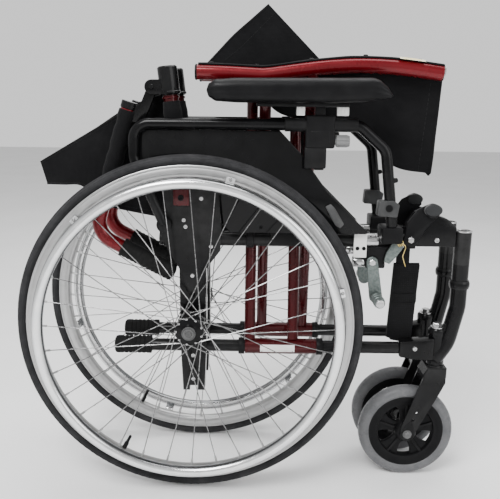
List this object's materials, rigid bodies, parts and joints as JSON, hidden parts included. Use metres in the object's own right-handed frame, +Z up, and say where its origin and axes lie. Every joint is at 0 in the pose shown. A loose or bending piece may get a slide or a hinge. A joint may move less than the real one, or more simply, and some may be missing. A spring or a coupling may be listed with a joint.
{
  "type": "folding manual wheelchair",
  "caption": "Folding manual wheelchair with spoked rear wheels, swivel casters, scissor cross brace, sling upholstery and flip-up armrests, stored folded.",
  "frame": {"origin": "middle of the folded chair's box, on the floor under the wheels", "axes": "+X forwards to the casters, +Y to the chair's left, +Z up"},
  "size_m": [0.793, 0.279, 0.8452],
  "materials": {
    "black_paint": "gloss black enamel",
    "red_paint": "metallic dark red enamel",
    "black_plastic": "satin black",
    "gloss_plastic": "glossy black",
    "fabric": "black woven nylon",
    "pad": "skinned polyurethane foam",
    "grip": "matte black rubber",
    "tyre": "solid polyurethane",
    "caster_tyre": "smooth grey polyurethane",
    "silver": "satin aluminium",
    "steel": "bright plated steel",
    "cast_metal": "rough cast alloy"
  },
  "bodies": {
    "right_frame": {"right_upper_tube": "black_paint", "right_lower_tube": "black_paint", "right_rear_tip": "grip", "right_front_tube": "black_paint", "right_caster_housing": "black_paint", "right_axle_post": "black_paint", "right_back_cane": "red_paint", "right_brake_bracket": "black_plastic", "leg_strap": "fabric"},
    "left_frame": {"left_upper_tube": "black_paint", "left_lower_tube": "black_paint", "left_rear_tip": "grip", "left_front_tube": "black_paint", "left_caster_housing": "black_paint", "left_axle_post": "black_paint", "left_back_cane": "red_paint", "left_brake_bracket": "black_plastic"},
    "right_brace": {"right_brace": "red_paint", "brace_axle": "steel"},
    "left_brace": {"left_brace": "red_paint"},
    "right_armrest": {"right_arm_tube": "black_paint", "right_side_guard": "gloss_plastic"},
    "right_arm_pad": {"right_pad_post": "red_paint", "right_arm_pad": "pad"},
    "right_brake_lever": {"right_brake_lever": "black_plastic"},
    "right_brake_shoe": {"right_brake_shoe": "cast_metal"},
    "right_rear_wheel": {"right_tyre": "tyre", "right_rim": "silver", "right_handrim": "silver", "right_wheel_hub": "black_paint"},
    "right_axle_button": {"right_axle_button": "steel"},
    "right_caster_fork": {"right_caster_fork": "black_paint"},
    "right_caster_wheel": {"right_caster_tyre": "caster_tyre", "right_caster_wheel": "black_plastic"},
    "right_folding_cane": {"right_folding_cane": "red_paint", "right_push_grip": "grip"},
    "right_seat_front": {"right_seat_front": "fabric"},
    "right_seat_rear": {"right_seat_rear": "fabric"},
    "right_lower_back": {"right_lower_back_half": "fabric"},
    "right_upper_back": {"right_upper_back_half": "fabric"},
    "left_armrest": {"left_arm_tube": "black_paint", "left_side_guard": "gloss_plastic"},
    "left_arm_pad": {"left_pad_post": "red_paint", "left_arm_pad": "pad"},
    "left_brake_lever": {"left_brake_lever": "black_plastic"},
    "left_brake_shoe": {"left_brake_shoe": "cast_metal"},
    "left_rear_wheel": {"left_tyre": "tyre", "left_rim": "silver", "left_handrim": "silver", "left_wheel_hub": "black_paint"},
    "left_axle_button": {"left_axle_button": "steel"},
    "left_caster_fork": {"left_caster_fork": "black_paint"},
    "left_caster_wheel": {"left_caster_tyre": "caster_tyre", "left_caster_wheel": "black_plastic"},
    "left_folding_cane": {"left_folding_cane": "red_paint", "left_push_grip": "grip"},
    "left_seat_front": {"left_seat_front": "fabric"},
    "left_seat_rear": {"left_seat_rear": "fabric"},
    "left_lower_back": {"left_lower_back_half": "fabric"},
    "left_upper_back": {"left_upper_back_half": "fabric"}
  },
  "joints": [
    {"name": "frame_fold", "type": "hinge", "parent": "right_frame", "child": "right_brace", "pos_m": [0, -0.045, 0.25], "axis": [-1, 0, 0], "range_deg": [0, 47.63]},
    {"name": "brace_cross", "type": "hinge", "parent": "right_brace", "child": "left_brace", "pos_m": [0, 0, 0.49592], "axis": [1, 0, 0], "range_deg": [0, 95.27]},
    {"name": "left_frame_hinge", "type": "hinge", "parent": "left_brace", "child": "left_frame", "pos_m": [0, 0.045, 0.25], "axis": [-1, 0, 0], "range_deg": [0, 47.64]},
    {"name": "right_seat_front", "type": "hinge", "parent": "left_brace", "child": "right_seat_front", "pos_m": [-0.0965, -0.04248, 0.742], "axis": [1, 0, 0], "range_deg": [0, 29.24], "deforming": ["right_seat_front"]},
    {"name": "right_seat_rear", "type": "hinge", "parent": "right_seat_front", "child": "right_seat_rear", "pos_m": [0.16215, 0.20451, 0.6252], "axis": [0.6561, -0.7051, -0.2691], "range_deg": [0, 60.38], "deforming": ["right_seat_rear"]},
    {"name": "right_lower_back", "type": "hinge", "parent": "right_frame", "child": "right_lower_back", "pos_m": [-0.11781, -0.04504, 0.65208], "axis": [0.2845, 0.2294, -0.9308], "range_deg": [0, 77.86], "deforming": ["right_lower_back_half"]},
    {"name": "right_upper_back", "type": "hinge", "parent": "right_folding_cane", "child": "right_upper_back", "pos_m": [-0.17768, -0.00199, 0.60587], "axis": [0.139, 0.4921, -0.8594], "range_deg": [0, 89.01], "deforming": ["right_upper_back_half"]},
    {"name": "left_seat_front", "type": "hinge", "parent": "right_brace", "child": "left_seat_front", "pos_m": [-0.0965, 0.04248, 0.742], "axis": [-1, 0, 0], "range_deg": [0, 29.24], "deforming": ["left_seat_front"]},
    {"name": "left_seat_rear", "type": "hinge", "parent": "left_seat_front", "child": "left_seat_rear", "pos_m": [0.16215, -0.20451, 0.6252], "axis": [-0.6561, -0.7051, 0.2691], "range_deg": [0, 60.38], "deforming": ["left_seat_rear"]},
    {"name": "left_lower_back", "type": "hinge", "parent": "left_frame", "child": "left_lower_back", "pos_m": [-0.11781, 0.04504, 0.65208], "axis": [-0.2845, 0.2294, 0.9308], "range_deg": [0, 77.86], "deforming": ["left_lower_back_half"]},
    {"name": "left_upper_back", "type": "hinge", "parent": "left_folding_cane", "child": "left_upper_back", "pos_m": [-0.17768, 0.00199, 0.60587], "axis": [-0.139, 0.4921, 0.8594], "range_deg": [0, 89.01], "deforming": ["left_upper_back_half"]},
    {"name": "right_armrest", "type": "hinge", "parent": "right_frame", "child": "right_armrest", "pos_m": [-0.1415, -0.0715, 0.478], "axis": [0, -1, 0], "range_deg": [0, 100]},
    {"name": "right_pad_height", "type": "slide", "parent": "right_armrest", "child": "right_arm_pad", "axis": [0, 0, 1], "range_m": [0, 0.05]},
    {"name": "right_brake_lever", "type": "hinge", "parent": "right_frame", "child": "right_brake_lever", "pos_m": [0.2825, -0.063, 0.455], "axis": [0, 1, 0], "range_deg": [0, 50]},
    {"name": "right_brake_shoe", "type": "hinge", "parent": "right_frame", "child": "right_brake_shoe", "pos_m": [0.2185, -0.063, 0.414], "axis": [0, 1, 0], "range_deg": [0, 17.01]},
    {"name": "right_rear_wheel", "type": "hinge", "parent": "right_frame", "child": "right_rear_wheel", "pos_m": [-0.0965, -0.095, 0.3], "axis": [0, 1, 0], "continuous": true},
    {"name": "right_axle_button", "type": "slide", "parent": "right_rear_wheel", "child": "right_axle_button", "axis": [0, 1, 0], "range_m": [0, 0.003], "stiffness_N_per_m": 400, "springref_m": -0.002},
    {"name": "right_caster_swivel", "type": "hinge", "parent": "right_frame", "child": "right_caster_fork", "pos_m": [0.3465, -0.042, 0.2], "axis": [0, 0, 1], "range_deg": [-10, 190]},
    {"name": "right_caster_roll", "type": "hinge", "parent": "right_caster_fork", "child": "right_caster_wheel", "pos_m": [0.2995, -0.042, 0.0875], "axis": [0, 1, 0], "continuous": true},
    {"name": "right_cane_fold", "type": "hinge", "parent": "right_frame", "child": "right_folding_cane", "pos_m": [-0.1611, -0.045, 0.707], "axis": [0, 1, 0], "range_deg": [0, 156.9]},
    {"name": "left_armrest", "type": "hinge", "parent": "left_frame", "child": "left_armrest", "pos_m": [-0.1415, 0.0715, 0.478], "axis": [0, -1, 0], "range_deg": [0, 100]},
    {"name": "left_pad_height", "type": "slide", "parent": "left_armrest", "child": "left_arm_pad", "axis": [0, 0, 1], "range_m": [0, 0.05]},
    {"name": "left_brake_lever", "type": "hinge", "parent": "left_frame", "child": "left_brake_lever", "pos_m": [0.2825, 0.063, 0.455], "axis": [0, 1, 0], "range_deg": [0, 50]},
    {"name": "left_brake_shoe", "type": "hinge", "parent": "left_frame", "child": "left_brake_shoe", "pos_m": [0.2185, 0.063, 0.414], "axis": [0, 1, 0], "range_deg": [0, 17.01]},
    {"name": "left_rear_wheel", "type": "hinge", "parent": "left_frame", "child": "left_rear_wheel", "pos_m": [-0.0965, 0.095, 0.3], "axis": [0, 1, 0], "continuous": true},
    {"name": "left_axle_button", "type": "slide", "parent": "left_rear_wheel", "child": "left_axle_button", "axis": [0, -1, 0], "range_m": [0, 0.003], "stiffness_N_per_m": 400, "springref_m": -0.002},
    {"name": "left_caster_swivel", "type": "hinge", "parent": "left_frame", "child": "left_caster_fork", "pos_m": [0.3465, 0.042, 0.2], "axis": [0, 0, -1], "range_deg": [-10, 190]},
    {"name": "left_caster_roll", "type": "hinge", "parent": "left_caster_fork", "child": "left_caster_wheel", "pos_m": [0.2995, 0.042, 0.0875], "axis": [0, 1, 0], "continuous": true},
    {"name": "left_cane_fold", "type": "hinge", "parent": "left_frame", "child": "left_folding_cane", "pos_m": [-0.1611, 0.045, 0.707], "axis": [0, 1, 0], "range_deg": [0, 156.9]}
  ],
  "couplings": [
    {"joint": "brace_cross", "follows": "frame_fold", "ratio": 2},
    {"joint": "left_frame_hinge", "follows": "frame_fold", "ratio": 1},
    {"joint": "right_seat_front", "follows": "frame_fold", "ratio": 0.61372},
    {"joint": "right_seat_rear", "follows": "frame_fold", "ratio": 1.2675},
    {"joint": "right_lower_back", "follows": "frame_fold", "ratio": 1.6345},
    {"joint": "right_upper_back", "follows": "frame_fold", "ratio": 1.8686},
    {"joint": "left_seat_front", "follows": "frame_fold", "ratio": 0.61372},
    {"joint": "left_seat_rear", "follows": "frame_fold", "ratio": 1.2675},
    {"joint": "left_lower_back", "follows": "frame_fold", "ratio": 1.6345},
    {"joint": "left_upper_back", "follows": "frame_fold", "ratio": 1.8686},
    {"joint": "right_brake_shoe", "follows": "right_brake_lever", "ratio": 0.34},
    {"joint": "left_brake_shoe", "follows": "left_brake_lever", "ratio": 0.34}
  ]
}
